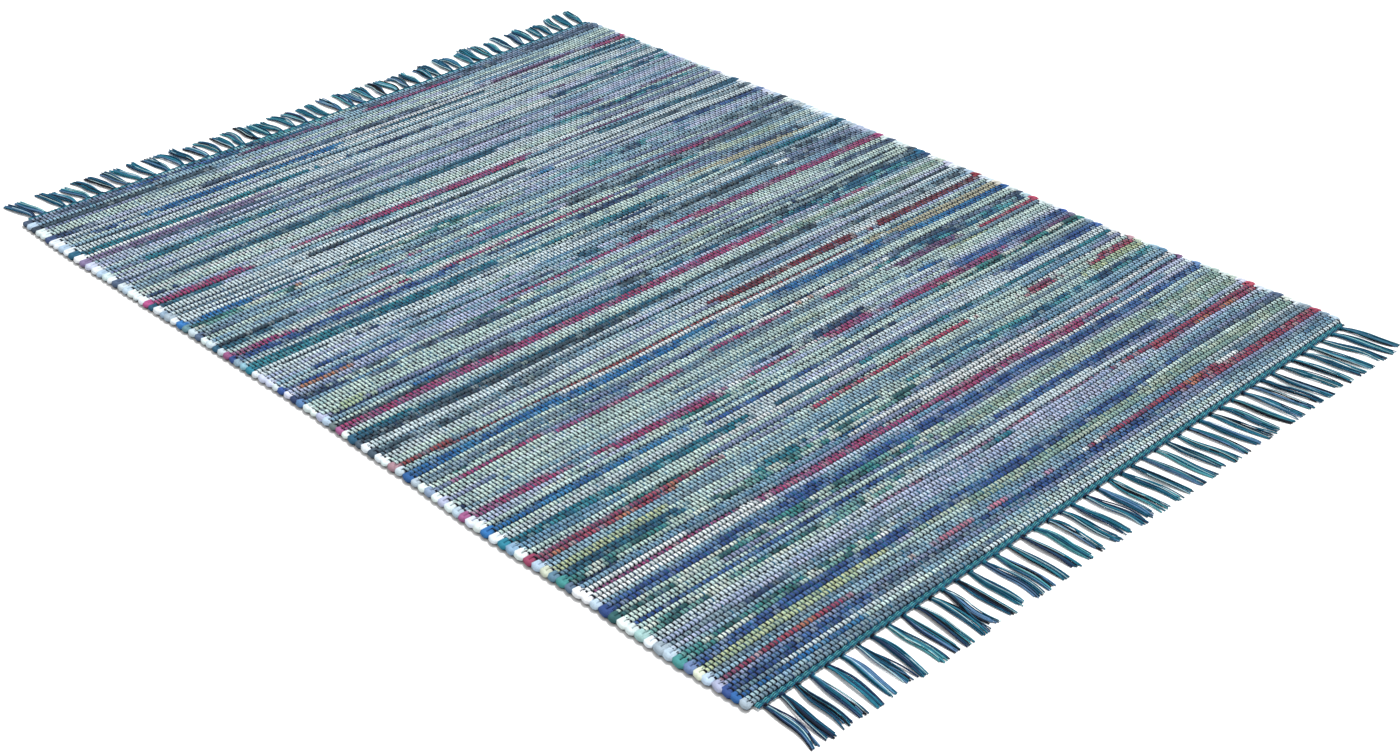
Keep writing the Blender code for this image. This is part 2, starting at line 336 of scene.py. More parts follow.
# The stripes, in the order in which they were woven. Places are measured across from the left outermost warp.
STRIPES = [
    # (first pick from the far end, last pick, left end in cm, right end in cm, rag)
    (0, 2, 0, 30, "dusk"),
    (0, 2, 30, 69, "tide"),
    (1, 3, 69, 138, "dusk"),
    (1, 1, 15, 45, "royal"),
    (3, 3, 41, 70, "plum"),
    (3, 3, 70, 98, "magenta"),
    (4, 5, 0, 41, "charcoal"),
    (10, 11, 0, 10, "navy"),
    (10, 11, 20, 91, "dusk"),
    (12, 12, 92, 97, "magenta"),
    (11, 12, 98, 124, "plum"),
    (12, 13, 125, 138, "magenta"),
    (14, 15, 6, 13, "royal"),
    (14, 15, 13, 63, "azure"),
    (14, 14, 69, 98, "petrol"),
    (14, 15, 103, 110, "royal"),
    (15, 16, 110, 138, "teal"),
    (18, 18, 0, 118, "charcoal"),
    (18, 18, 118, 138, "petrol"),
    (21, 22, 0, 54, "teal"),
    (21, 21, 56, 81, "navy"),
    (22, 22, 86, 92, "royal"),
    (22, 22, 92, 138, "tide"),
    (24, 25, 0, 42, "mauve"),
    (25, 25, 101, 115, "plum"),
    (26, 26, 5, 53, "slate"),
    (25, 25, 77, 86, "slate"),
    (26, 26, 116, 138, "petrol"),
    (26, 26, 53, 57, "azure"),
    (28, 29, 103, 138, "tide"),
    (28, 28, 20, 60, "slate"),
    (31, 32, 5, 38, "teal"),
    (31, 31, 45, 59, "petrol"),
    (31, 31, 74, 95, "navy"),
    (37, 37, 0, 47, "slate"),
    (37, 38, 57, 62, "plum"),
    (37, 37, 72, 95, "mauve"),
    (38, 38, 95, 113, "plum"),
    (39, 39, 121, 138, "plum"),
    (41, 42, 7, 90, "petrol"),
    (41, 42, 90, 134, "tide"),
    (46, 46, 0, 8, "navy"),
    (47, 47, 124, 134, "royal"),
    (49, 50, 0, 20, "magenta"),
    (49, 50, 26, 87, "magenta"),
    (49, 49, 88, 118, "plum"),
    (51, 52, 0, 14, "petrol"),
    (51, 51, 25, 88, "tide"),
    (51, 52, 93, 138, "petrol"),
    (54, 54, 25, 83, "charcoal"),
    (55, 55, 0, 20, "slate"),
    (55, 56, 91, 138, "gravel"),
    (59, 59, 3, 30, "navy"),
    (58, 58, 74, 85, "azure"),
    (59, 59, 85, 138, "navy"),
    (60, 60, 110, 138, "royal"),
    (61, 62, 0, 16, "azure"),
    (61, 61, 16, 50, "petrol"),
    (62, 62, 50, 60, "teal"),
    (62, 63, 74, 112, "tide"),
    (63, 64, 112, 138, "lavender"),
    (63, 64, 0, 75, "sea"),
    (63, 63, 19, 22, "orange"),
    (67, 67, 0, 8, "slate"),
    (66, 66, 10, 40, "slate"),
    (67, 67, 40, 60, "slate"),
    (67, 68, 111, 138, "gravel"),
    (70, 70, 31, 39, "magenta"),
    (69, 69, 39, 45, "magenta"),
    (71, 71, 50, 69, "magenta"),
    (71, 71, 69, 118, "plum"),
    (72, 72, 100, 126, "magenta"),
    (72, 72, 0, 20, "charcoal"),
    (73, 73, 20, 36, "charcoal"),
    (73, 74, 0, 13, "petrol"),
    (73, 75, 69, 138, "gravel"),
    (75, 75, 34, 76, "teal"),
    (76, 76, 84, 108, "teal"),
    (77, 78, 108, 128, "sage"),
    (77, 78, 0, 13, "magenta"),
    (77, 77, 16, 37, "magenta"),
    (78, 78, 39, 84, "magenta"),
    (79, 79, 84, 107, "plum"),
    (79, 80, 0, 49, "royal"),
    (80, 80, 49, 69, "navy"),
    (80, 81, 69, 88, "navy"),
    (81, 82, 107, 132, "dusk"),
    (83, 84, 95, 132, "sand"),
    (83, 85, 0, 53, "teal"),
    (85, 85, 53, 69, "teal"),
    (85, 86, 69, 93, "teal"),
    (85, 85, 95, 108, "petrol"),
    (86, 87, 108, 138, "teal"),
    (87, 87, 2, 17, "charcoal"),
    (88, 88, 17, 23, "navy"),
    (87, 87, 42, 52, "navy"),
    (88, 88, 74, 88, "navy"),
    (87, 87, 101, 107, "charcoal"),
    (89, 89, 118, 132, "charcoal"),
    (90, 90, 29, 33, "charcoal"),
    (90, 90, 40, 53, "sea"),
    (92, 92, 3, 15, "royal"),
    (93, 93, 24, 52, "charcoal"),
    (92, 94, 72, 106, "gravel"),
    (92, 92, 88, 114, "charcoal"),
    (92, 94, 114, 138, "dusk"),
    (95, 95, 0, 24, "royal"),
    (95, 95, 46, 59, "navy"),
    (93, 95, 59, 69, "petrol"),
    (96, 96, 2, 13, "orange"),
    (96, 97, 15, 39, "lavender"),
    (97, 97, 41, 82, "magenta"),
    (96, 96, 69, 82, "magenta"),
    (97, 98, 82, 138, "magenta"),
    (99, 100, 0, 10, "navy"),
    (99, 99, 10, 20, "charcoal"),
    (102, 102, 8, 20, "slate"),
    (100, 101, 19, 43, "dusk"),
    (102, 102, 29, 59, "slate"),
    (99, 99, 22, 69, "sea"),
    (100, 100, 78, 98, "slate"),
    (101, 102, 118, 138, "slate"),
    (106, 107, 1, 9, "lime"),
    (104, 104, 78, 91, "sage"),
    (105, 105, 115, 138, "charcoal"),
    (108, 108, 0, 30, "navy"),
    (108, 108, 41, 49, "azure"),
    (106, 106, 83, 93, "navy"),
    (107, 107, 101, 109, "navy"),
    (108, 109, 59, 69, "charcoal"),
    (108, 109, 69, 138, "gravel"),
    (110, 110, 13, 24, "azure"),
    (110, 110, 24, 39, "slate"),
    (111, 111, 0, 38, "charcoal"),
    (111, 111, 38, 69, "petrol"),
    (110, 110, 69, 138, "tide"),
    (111, 111, 93, 138, "tide"),
    (112, 113, 0, 99, "magenta"),
    (113, 113, 106, 120, "magenta"),
    (112, 112, 106, 138, "tide"),
    (116, 116, 0, 14, "teal"),
    (117, 117, 0, 69, "petrol"),
    (118, 119, 0, 69, "charcoal"),
    (117, 118, 69, 105, "charcoal"),
    (119, 119, 105, 138, "charcoal"),
    (115, 116, 86, 138, "sage"),
    (123, 124, 0, 40, "gravel"),
    (122, 122, 40, 100, "charcoal"),
    (122, 123, 101, 138, "gravel"),
    (124, 124, 49, 59, "lavender"),
    (126, 127, 66, 106, "garnet"),
    (126, 127, 106, 138, "garnet"),
    (129, 129, 0, 12, "brick"),
    (130, 130, 5, 101, "brick"),
    (130, 131, 101, 110, "sand"),
    (131, 132, 108, 138, "sand"),
    (132, 133, 0, 69, "azure"),
    (132, 133, 69, 108, "azure"),
    (133, 134, 108, 138, "azure"),
    (137, 137, 3, 20, "sea"),
    (137, 137, 29, 43, "royal"),
    (137, 137, 49, 69, "royal"),
    (137, 137, 69, 88, "navy"),
    (138, 138, 77, 83, "orange"),
    (137, 138, 91, 138, "dusk"),
    (139, 140, 96, 138, "tide"),
    (139, 139, 4, 22, "magenta"),
    (140, 140, 22, 49, "magenta"),
    (139, 139, 54, 77, "magenta"),
    (140, 140, 80, 91, "magenta"),
    (141, 142, 98, 118, "plum"),
    (142, 142, 118, 138, "crimson"),
    (143, 143, 69, 78, "sage"),
    (144, 144, 108, 123, "lime"),
    (146, 146, 0, 6, "navy"),
    (145, 145, 8, 13, "azure"),
    (145, 145, 43, 49, "navy"),
    (146, 146, 97, 107, "azure"),
    (148, 148, 57, 69, "navy"),
    (148, 149, 69, 88, "navy"),
    (149, 150, 106, 138, "royal"),
    (149, 150, 0, 19, "magenta"),
    (150, 151, 22, 52, "magenta"),
    (150, 150, 52, 69, "magenta"),
    (150, 151, 69, 88, "magenta"),
    (151, 152, 88, 120, "magenta"),
    (152, 152, 120, 138, "plum"),
    (152, 152, 10, 23, "sea"),
    (152, 152, 31, 59, "sea"),
    (153, 154, 98, 138, "sea"),
    (155, 155, 0, 39, "azure"),
    (154, 154, 7, 21, "azure"),
    (156, 156, 39, 69, "royal"),
    (156, 156, 69, 88, "navy"),
    (157, 158, 108, 138, "royal"),
    (159, 160, 0, 49, "teal"),
    (160, 160, 49, 69, "petrol"),
    (161, 161, 69, 138, "teal"),
    (164, 164, 13, 39, "sea"),
    (164, 164, 59, 69, "sea"),
    (165, 166, 0, 39, "ember"),
    (165, 165, 39, 55, "pink"),
    (165, 165, 55, 96, "crimson"),
    (165, 166, 106, 118, "ember"),
    (166, 167, 123, 138, "crimson"),
    (169, 170, 0, 24, "lime"),
    (168, 169, 118, 138, "lime"),
    (171, 172, 0, 24, "petrol"),
    (171, 172, 36, 49, "teal"),
    (171, 171, 49, 69, "petrol"),
    (171, 172, 69, 138, "tide"),
    (173, 174, 0, 80, "sea"),
    (175, 175, 0, 10, "navy"),
    (175, 175, 49, 61, "azure"),
    (178, 178, 0, 30, "magenta"),
    (178, 179, 30, 63, "magenta"),
    (179, 180, 59, 118, "magenta"),
    (178, 178, 118, 138, "plum"),
    (181, 181, 32, 44, "royal"),
    (182, 183, 0, 138, "royal"),
    (184, 185, 0, 70, "sea"),
    (186, 187, 60, 138, "sage"),
    (188, 188, 0, 69, "royal"),
    (189, 190, 69, 118, "royal"),
    (190, 191, 118, 138, "sage"),
    (190, 191, 0, 60, "sea"),
    (193, 193, 39, 98, "pink"),
    (194, 194, 62, 74, "teal"),
    (194, 195, 98, 138, "ember"),
    (196, 196, 11, 22, "navy"),
    (198, 199, 0, 44, "sea"),
    (200, 201, 0, 112, "royal"),
    (200, 200, 112, 138, "slate"),
    (202, 203, 0, 39, "lime"),
    (202, 203, 39, 138, "sage"),
    (206, 206, 0, 27, "ember"),
    (206, 206, 33, 39, "ember"),
    (206, 206, 39, 78, "pink"),
    (206, 207, 78, 112, "ember"),
    (207, 208, 104, 138, "crimson"),
    (208, 209, 0, 29, "royal"),
    (208, 208, 29, 49, "slate"),
    (207, 208, 49, 103, "royal"),
    (211, 211, 0, 24, "azure"),
]

STRETCH = (18, 75)  # least and greatest length of one rag in the ground, in cm
KIN = 0.45  # chance that a stretch of the ground is another pale rag
LEAN_COLOUR = (150, 178, 198)  # towards which every rag leans, for the fine warp yarns that lie over it
LEAN = 0.07
PALE = ["ice", "mint", "mist", "lavender", "white", "sky", "fog", "mist", "heath", "fog"]
PATCH = (1.5, 4.5)  # least and greatest length of one tone in a printed rag, in cm
TONE_UNEVEN = 0.12  # how far two stretches of one rag differ in tone
STRIPE_END = 1.2  # how far a stripe's ends stray from pick to pick, in cm
STRIPE_FADE = 4.0  # length over which an end breaks up, in cm
STRIPE_TAPER = 12.0  # how much a long stripe's later picks may fall short of its first, in cm
LONG_STRIPE = 35  # in cm
PLAIN_PATCH = 1000.0  # one tone of a plain rag, longer than the rug is wide, in cm
FLECK_CHANCE = 0.16  # share of a pick's places, one at each warp group, that show a fleck
FLECK_STRENGTH = (0.15, 0.45)
FLECK_TONE = 0.10  # how far the tone differs from place to place
FLECK_BACKS = ("ice", "mist", "mint")  # the flecks in dark rags
FLECK_THREADS = ("petrol", "dusk", "teal", "sea", "royal", "slate")  # and those in pale ones
DARK_BELOW = 0.25  # brightness under which a rag counts as dark
BRIGHTNESS = np.array([0.3, 0.59, 0.11])  # share of red, green and blue in how bright a colour looks

YARN_COLOURS = {
    # name: red, green and blue up to 255
    "ink": (16, 22, 34),
    "navy": (30, 50, 80),
    "petrol": (26, 82, 110),
    "teal": (36, 108, 130),
    "sea": (78, 150, 160),
    "steel": (84, 120, 156),
    "pale": (172, 204, 208),
}
WARP_DARKS = ["ink", "ink", "ink", "navy", "ink", "petrol"]
TWINE_COLOURS = [("sea", "petrol"), ("sea", "teal"), ("teal", "navy")]  # two yarns for each row
KNOT_COLOURS = ("ink", "petrol", "teal", "navy")
TASSEL_FAMILIES = [
    ["teal", "teal", "sea", "petrol"],
    ["petrol", "petrol", "navy", "teal"],
    ["teal", "petrol", "steel", "ink"],
    ["navy", "petrol", "ink", "steel"],
]

# The fine warp yarns on the rag, as a colour in linear light, and where those in a group's place and those
# between two groups begin and are full, across a wave that runs from 0 between two yarns to 0.5 at a yarn
LINE_COLOUR = (0.018, 0.045, 0.062)
GROUP_EDGE = (0.25, 0.33)
BETWEEN_EDGE = (0.35, 0.42)
GROUP_LINE = 1.0  # how strongly the yarn in a group's own place shows
BETWEEN_LINE = 0.25  # and the one between two groups
LINE_FADED = 0.86  # what is left of a line where the rag swells over it
LINE_FADES = (0.32, 0.60)  # the part of the noise over which it comes back
LINE_PATCHES = 190.0  # patches to a metre where lines fade
LINE_SWAY = 0.10  # how far a line sways, as a share of a group's pitch
LINE_SWAYS = 110.0  # bends to a metre

# Painted shade in the grooves between the picks, by height: the rag is painted darker the lower it lies
HOLLOW_SHADE_COLOUR = (0.003, 0.006, 0.010)
HOLLOW_SHADE_STRENGTH = 0.9
HOLLOW_SHADE_LOW = 3.2 * MM  # full below this height
HOLLOW_SHADE_HIGH = 5.2 * MM  # and gone above this one

# The feel of the cotton
BLOTCHES = 90.0  # blotches of tone to a metre
FIBRES = 700.0  # fibres to a metre
FIBRE_ROUGHNESS = 0.65  # how much of their fine detail shows
RAG_ROUGHNESS = 0.9
RAG_UNEVENNESS = 0.55
RAG_BUMP = 0.6
RAG_BUMP_HEIGHT = 0.8 * MM
COTTON_ROUGHNESS = 0.8
COTTON_UNEVENNESS = 0.8
COTTON_BUMP = 0.5
COTTON_BUMP_HEIGHT = 0.4 * MM
SPECULAR = 0.12

# A plain floor, and the light: an even sky, and a large soft lamp from the right
FLOOR_REACH = 30.0  # to each side
FLOOR_GREY = 0.97
FLOOR_ROUGHNESS = 0.9
WHITE = (1.0, 1.0, 1.0, 1.0)
SKY_LIGHT = 0.66
BACKDROP = 0.93
KEY_LIGHT = 3.7
KEY_SOFTNESS = 24  # degrees across
KEY_PLACE = (3.6, 1.2, 5.0)

# The photo's view
LENS = 52.1
SENSOR = 36.0
CAMERA_PLACE = (-2.071, -2.366, 1.710)
CAMERA_HEADING = 47.27  # degrees from +X towards +Y
CAMERA_DOWN = 31.54  # degrees below the horizon
CAMERA_ROLL = 1.21  # degrees
CAMERA_NEAREST = 0.05
CAMERA_FURTHEST = 100

# How a tube's surface lies in its map for baking, in shares of the map and of a strip
CAP_ROOM = 0.004  # kept free for the end caps at each end of the strips
CAP_PLACE = 0.45  # where a cap's middle lies in that room
CAP_REACH = 0.3  # a cap's half width in its room and in its strip
STRIP_GAP = 0.06


def linear(colour):
    """A colour of 0 to 255 as linear light."""
    share = np.asarray(colour, float) / 255
    return np.where(share <= 0.04045, share / 12.92, ((share + 0.055) / 1.055) ** 2.4)


def eased(table, at, column):
    """The table's column at a share of the way along it, eased from row to row."""
    for low, high in zip(table, table[1:]):
        if at <= high[0]:
            share = (at - low[0]) / (high[0] - low[0])
            share = (1 - math.cos(math.pi * min(max(share, 0), 1))) / 2
            return low[column] + share * (high[column] - low[column])
    return table[-1][column]


def far_bend(x):
    """How far the far end stands back at each x."""
    x = np.asarray(x, float) - WARP_MIDDLE
    side = np.where(x < BEND_PLACE, BEND_REACH + BEND_PLACE, BEND_REACH - BEND_PLACE)
    return BEND_DEPTH * np.maximum(0.0, 1 - np.abs(x - BEND_PLACE) / side)


def blend_weights(count, reach):
    """How much of each hill's middle shows at each of a row of places, with hills as wide as the reach."""
    places = np.arange(count) / reach
    low = np.floor(places).astype(int)
    share = places - low
    share = share * share * (3 - 2 * share)
    weights = np.zeros((count, low.max() + 2))
    weights[np.arange(count), low] = 1 - share
    weights[np.arange(count), low + 1] = share
    return weights


def drift(rng, rows, columns, row_reach, column_reach):
    """A smooth random surface of about -1 to 1, rows by columns, whose hills are as wide as the reaches."""
    down, across = blend_weights(rows, row_reach), blend_weights(columns, column_reach)
    grid = rng.uniform(-1, 1, (down.shape[1], across.shape[1]))
    return down @ grid @ across.T


def group_places():
    """The x of each warp group at each pick, groups by picks."""
    rng = np.random.default_rng(21)
    straight = WARP_MIDDLE - WARP_WIDTH / 2 + np.arange(GROUPS) * GROUP_PITCH
    stray = GROUP_STRAY * drift(rng, GROUPS, PICKS, *GROUP_STRAY_REACH)
    stray[[0, -1]] *= EDGE_STRAY
    return straight[:, None] + stray


def pick_edges():
    """The y of the edges between picks at each warp group, picks + 1 by groups."""
    luck = random.Random(3)
    widths = [1 + PITCH_UNEVEN * luck.uniform(-1, 1) for _ in range(PICKS)]
    for pick in THIN_PICKS:
        place = PICKS - 1 - pick
        spare = widths[place] * (1 - THINNESS)
        widths[place] -= spare
        widths[place - 1] += spare / 2
        widths[place + 1] += spare / 2
    edges = np.concatenate([[0.0], np.cumsum(widths)])
    edges *= CLOTH_LENGTH / edges[-1]
    rng = np.random.default_rng(5)
    sway = WIDE_SWAY * drift(rng, PICKS + 1, GROUPS, *WIDE_SWAY_REACH)
    sway += NARROW_SWAY * drift(rng, PICKS + 1, GROUPS, *NARROW_SWAY_REACH)
    share = edges / CLOTH_LENGTH
    calm = np.clip(np.minimum(share, 1 - share) / CALM_SHARE, 0, 1)
    along = edges[:, None] + calm[:, None] * sway
    x = WARP_MIDDLE - WARP_WIDTH / 2 + np.arange(GROUPS) * GROUP_PITCH
    return NEAR_EDGE + along - share[:, None] ** BEND_FADE * far_bend(x)[None, :]


def tones_of(rag, places, luck):
    """One stretch of a rag as a colour at each place, in patches where it is printed."""
    tones = RAGS[rag]
    colours = np.zeros((len(places), 3))
    at = places[0] if len(places) else 0.0
    while len(places) and at <= places[-1]:
        reach = luck.uniform(*PATCH)
        tone = linear(tones[luck.randrange(len(tones))]) * (1 + TONE_UNEVEN * luck.uniform(-1, 1))
        tone += (linear(LEAN_COLOUR) - tone) * LEAN
        colours[places >= at] = tone
        at += reach if len(tones) > 1 else PLAIN_PATCH
    return colours


def flecked(colours):
    """The colours with an uneven tone and flecks: pale backs in dark rags, dark threads in pale ones."""
    rng = np.random.default_rng(33)
    shape = colours.shape[:2]
    dark = (colours @ BRIGHTNESS < DARK_BELOW)[:, :, None]
    turned = (rng.random(shape) < FLECK_CHANCE)[:, :, None]
    strength = rng.uniform(*FLECK_STRENGTH, shape)[:, :, None]
    backs = np.array([linear(RAGS[name][0]) for name in FLECK_BACKS])
    threads = np.array([linear(RAGS[name][0]) for name in FLECK_THREADS])
    back = backs[rng.integers(0, len(backs), shape)]
    thread = threads[rng.integers(0, len(threads), shape)]
    fleck = np.where(dark, back, thread)
    spotted = np.where(turned, colours + (fleck - colours) * strength, colours)
    return spotted * rng.uniform(1 - FLECK_TONE, 1 + FLECK_TONE, shape)[:, :, None]


def lay_ground(colours, places, luck):
    """Fills every pick with stretches of pale rag, of which about half are the one that the chart gives."""
    ground = dict(GROUND)
    rag = None
    for pick in range(PICKS):
        rag = ground.get(pick, rag)
        at = -luck.uniform(0, STRETCH[0])
        while at < places[-1]:
            reach = luck.uniform(*STRETCH)
            here = (places >= at) & (places < at + reach)
            kind = luck.choice(PALE) if luck.random() < KIN else rag
            colours[pick, here] = tones_of(kind, places[here], luck)
            at += reach


def lay_stripes(colours, places, luck):
    """Lays the stripes over the ground, with ends that stray from pick to pick and break up."""
    width = places[-1]
    for first, last, left, right, rag in STRIPES:
        for pick in range(first, last + 1):
            short = STRIPE_TAPER if pick > first and right - left > LONG_STRIPE else 0.0
            low = left - 1
            if left > 0:
                low = left + luck.uniform(-1, 1) * STRIPE_END + luck.random() * short
            high = right + luck.uniform(-1, 1) * STRIPE_END
            if right < width:
                high -= luck.random() * short
            thins = np.array([luck.random() * STRIPE_FADE for _ in places])
            from_left = places - low if left > 0 else places + STRIPE_FADE
            from_right = high - places if right < width else width + STRIPE_FADE - places
            here = (from_left >= thins) & (from_right >= thins)
            colours[pick, here] = tones_of(rag, places[here], luck)


def pick_colours():
    """The colour of each pick at each warp group, picks from the near end by groups by 3."""
    luck = random.Random(17)
    places = np.arange(GROUPS) * GROUP_PITCH / CM
    colours = np.zeros((PICKS, GROUPS, 3))
    lay_ground(colours, places, luck)
    lay_stripes(colours, places, luck)
    return flecked(colours[::-1])


def put(tree, node, name, value):
    """Sets a node's input to a value, or links it to another node's output."""
    if isinstance(value, bpy.types.NodeSocket):
        tree.links.new(value, node.inputs[name])
    else:
        node.inputs[name].default_value = value


def add(tree, kind, **inputs):
    """A new node of a kind, with its inputs by name."""
    node = tree.nodes.new(kind)
    for name, value in inputs.items():
        put(tree, node, name.replace("_", " "), value)
    return node


def tube_tree():
    """Geometry Nodes that turn guide lines into tubes, as thick as the guides' attribute says."""
    tree = bpy.data.node_groups.new("tubes_on_guides", "GeometryNodeTree")
    socket = tree.interface.new_socket
    socket("Geometry", in_out="INPUT", socket_type="NodeSocketGeometry")
    socket("Sides", in_out="INPUT", socket_type="NodeSocketInt")
    socket("Turn", in_out="INPUT", socket_type="NodeSocketVector")
    socket("Flatten", in_out="INPUT", socket_type="NodeSocketVector")
    socket("Material", in_out="INPUT", socket_type="NodeSocketMaterial")
    socket("Geometry", in_out="OUTPUT", socket_type="NodeSocketGeometry")
    entry = tree.nodes.new("NodeGroupInput").outputs
    curve = add(tree, "GeometryNodeMeshToCurve", Mesh=entry["Geometry"])
    level = add(tree, "GeometryNodeSetCurveNormal", Curve=curve.outputs["Curve"])
    level.mode = "Z_UP"
    thickness = add(tree, "GeometryNodeInputNamedAttribute", Name="thickness")
    thickness.data_type = "FLOAT"
    circle = add(tree, "GeometryNodeCurvePrimitiveCircle", Resolution=entry["Sides"], Radius=1.0)
    turned = add(tree, "GeometryNodeTransform", Geometry=circle.outputs["Curve"], Rotation=entry["Turn"])
    flat = add(tree, "GeometryNodeTransform", Geometry=turned.outputs["Geometry"], Scale=entry["Flatten"])
    tube = add(tree, "GeometryNodeCurveToMesh", Curve=level.outputs["Curve"])
    put(tree, tube, "Profile Curve", flat.outputs["Geometry"])
    put(tree, tube, "Scale", thickness.outputs["Attribute"])
    put(tree, tube, "Fill Caps", True)
    smooth = add(tree, "GeometryNodeSetShadeSmooth", Geometry=tube.outputs["Mesh"])
    real = add(tree, "GeometryNodeRealizeInstances", Geometry=smooth.outputs["Geometry"])
    dressed = add(tree, "GeometryNodeSetMaterial", Geometry=real.outputs["Geometry"])
    put(tree, dressed, "Material", entry["Material"])
    leave = tree.nodes.new("NodeGroupOutput")
    put(tree, leave, "Geometry", dressed.outputs["Geometry"])
    return tree


def tubes(name, points, thickness, colours, sides, flatness, material, across=None, corner_up=True):
    """Tubes along guide lines as one plain mesh.

    Points and colours are lines by points by 3, and thickness is half a tube's width at each point. Across
    counts the warp groups at each point, for the lines on the rag. A tube has a corner at its top, or else a
    flat side.
    """
    lines, count = points.shape[:2]
    guide = bpy.data.meshes.new(name)
    guide.vertices.add(lines * count)
    guide.vertices.foreach_set("co", np.ascontiguousarray(points, np.float32).ravel())
    first = np.arange(lines * count).reshape(lines, count)
    pairs = np.stack([first[:, :-1], first[:, 1:]], axis=-1).reshape(-1, 2)
    guide.edges.add(len(pairs))
    guide.edges.foreach_set("vertices", pairs.ravel().astype(np.int32))
    wide = guide.attributes.new("thickness", "FLOAT", "POINT")
    wide.data.foreach_set("value", np.ascontiguousarray(thickness, np.float32).ravel())
    tint = guide.attributes.new("tint", "FLOAT_COLOR", "POINT")
    whole = np.concatenate([colours, np.ones((lines, count, 1))], axis=-1)
    tint.data.foreach_set("color", np.ascontiguousarray(whole, np.float32).ravel())
    if across is not None:
        count_of = guide.attributes.new("across", "FLOAT", "POINT")
        count_of.data.foreach_set("value", np.ascontiguousarray(across, np.float32).ravel())
    maker = bpy.data.objects.new(name + "_guide", guide)
    bpy.context.scene.collection.objects.link(maker)
    modifier = maker.modifiers.new("tubes", "NODES")
    modifier.node_group = TUBE_TREE
    turn = math.pi / 2 if corner_up else math.pi / 2 + math.pi / sides
    values = {
        "Sides": sides,
        "Turn": (0.0, 0.0, -turn),
        "Flatten": (1.0, flatness, 1.0),
        "Material": material,
    }
    for item in TUBE_TREE.interface.items_tree:
        if item.name in values:
            modifier[item.identifier] = values[item.name]
    graph = bpy.context.evaluated_depsgraph_get()
    mesh = bpy.data.meshes.new_from_object(maker.evaluated_get(graph))
    mesh.name = name
    bpy.data.objects.remove(maker, do_unlink=True)
    bpy.data.meshes.remove(guide)
    lay_out(mesh, lines, count, sides)
    piece = bpy.data.objects.new(name, mesh)
    bpy.context.scene.collection.objects.link(piece)
    return piece


def lay_out(mesh, lines, count, sides):
    """A map for baking: each tube is one strip, unrolled, with its end caps beside it."""
    corners = np.zeros(len(mesh.loops), np.int32)
    mesh.loops.foreach_get("vertex_index", corners)
    starts = np.zeros(len(mesh.polygons), np.int32)
    mesh.polygons.foreach_get("loop_start", starts)
    line = corners // (count * sides)
    ring = corners % (count * sides) // sides
    side = corners % sides
    lengths = np.diff(np.append(starts, len(corners)))
    ring_low = np.repeat(np.minimum.reduceat(ring, starts), lengths)
    ring_high = np.repeat(np.maximum.reduceat(ring, starts), lengths)
    side_high = np.repeat(np.maximum.reduceat(side, starts), lengths)
    side_low = np.repeat(np.minimum.reduceat(side, starts), lengths)
    cap = ring_low == ring_high
    wraps = (side_high - side_low == sides - 1) & (side == 0) & ~cap
    around = (side + np.where(wraps, sides, 0)) / sides
    u = CAP_ROOM + (1 - 2 * CAP_ROOM) * ring / (count - 1)
    v = (line + STRIP_GAP + (1 - 2 * STRIP_GAP) * around) / lines
    turn = 2 * np.pi * side / sides
    cap_middle = np.where(ring == 0, CAP_PLACE * CAP_ROOM, 1 - CAP_PLACE * CAP_ROOM)
    cap_u = cap_middle + CAP_REACH * CAP_ROOM * np.cos(turn)
    cap_v = (line + 0.5 + CAP_REACH * np.sin(turn)) / lines
    flat = np.stack([np.where(cap, cap_u, u), np.where(cap, cap_v, v)], axis=-1)
    layer = mesh.uv_layers.new(name="OFBake")
    layer.data.foreach_set("uv", flat.astype(np.float32).ravel())


def dips():
    """Where each pick dips under a warp group, picks by groups."""
    return (np.arange(PICKS)[:, None] + np.arange(GROUPS)[None, :]) % 2 == 0


def with_painted_shade_and_highlight(colours):
    """The colours with painted shade where a pick dips under a warp group, and a painted highlight at its
    crests.
    """
    return colours * np.where(dips(), DIP_PAINTED_SHADE, CREST_PAINTED_HIGHLIGHT)[:, :, None]


def pick_lines(edges, groups):
    """The guide lines of the picks and half their width at each warp group, high enough that none sinks."""
    rng = np.random.default_rng(9)
    width = edges[1:] - edges[:-1]
    fullness = np.where(dips(), DIP_FULLNESS, CREST_FULLNESS)
    fullness = fullness * (1 + FULLNESS_UNEVEN * drift(rng, PICKS, GROUPS, *FULLNESS_REACH))
    thickness = np.minimum(width / 2 * fullness, PICK_THICKEST)
    height = np.maximum(np.where(dips(), DIP_HEIGHT, CREST_HEIGHT), thickness * PICK_FLATNESS)
    middle = (edges[:-1] + edges[1:]) / 2
    return np.stack([groups.T, middle, height], axis=-1), thickness


def warp_lines(edges, groups, picks):
    """The guide lines, thickness and colour of the warp groups, which lie over every other pick."""
    middle, height = picks[:, :, 1], picks[:, :, 2]
    width = edges[1:] - edges[:-1]
    over = dips()
    luck = random.Random(29)
    lines = []
    for group in range(GROUPS):
        line = [(groups[group, 0], edges[0, group] - GROUP_END, GROUP_END_HEIGHT)]
        for pick in range(PICKS):
            x, y = groups[group, pick], middle[pick, group]
            if over[pick, group]:
                reach = GROUP_REACH * width[pick, group]
                z = GROUP_OVER + height[pick, group] - DIP_HEIGHT
                line += [(x, y - reach, z), (x, y + reach, z)]
            else:
                line.append((x, y, GROUP_UNDER))
        line.append((groups[group, -1], edges[-1, group] + GROUP_END, GROUP_END_HEIGHT))
        lines.append(line)
    points = np.array(lines)
    thickness = np.full(points.shape[:2], GROUP_THICKNESS)
    thickness[[0, -1]] *= EDGE_GROUP_FULLNESS
    colours = np.zeros(points.shape)
    for group in range(GROUPS):
        colours[group] = linear(YARN_COLOURS[luck.choice(WARP_DARKS)])
    return points, thickness, colours


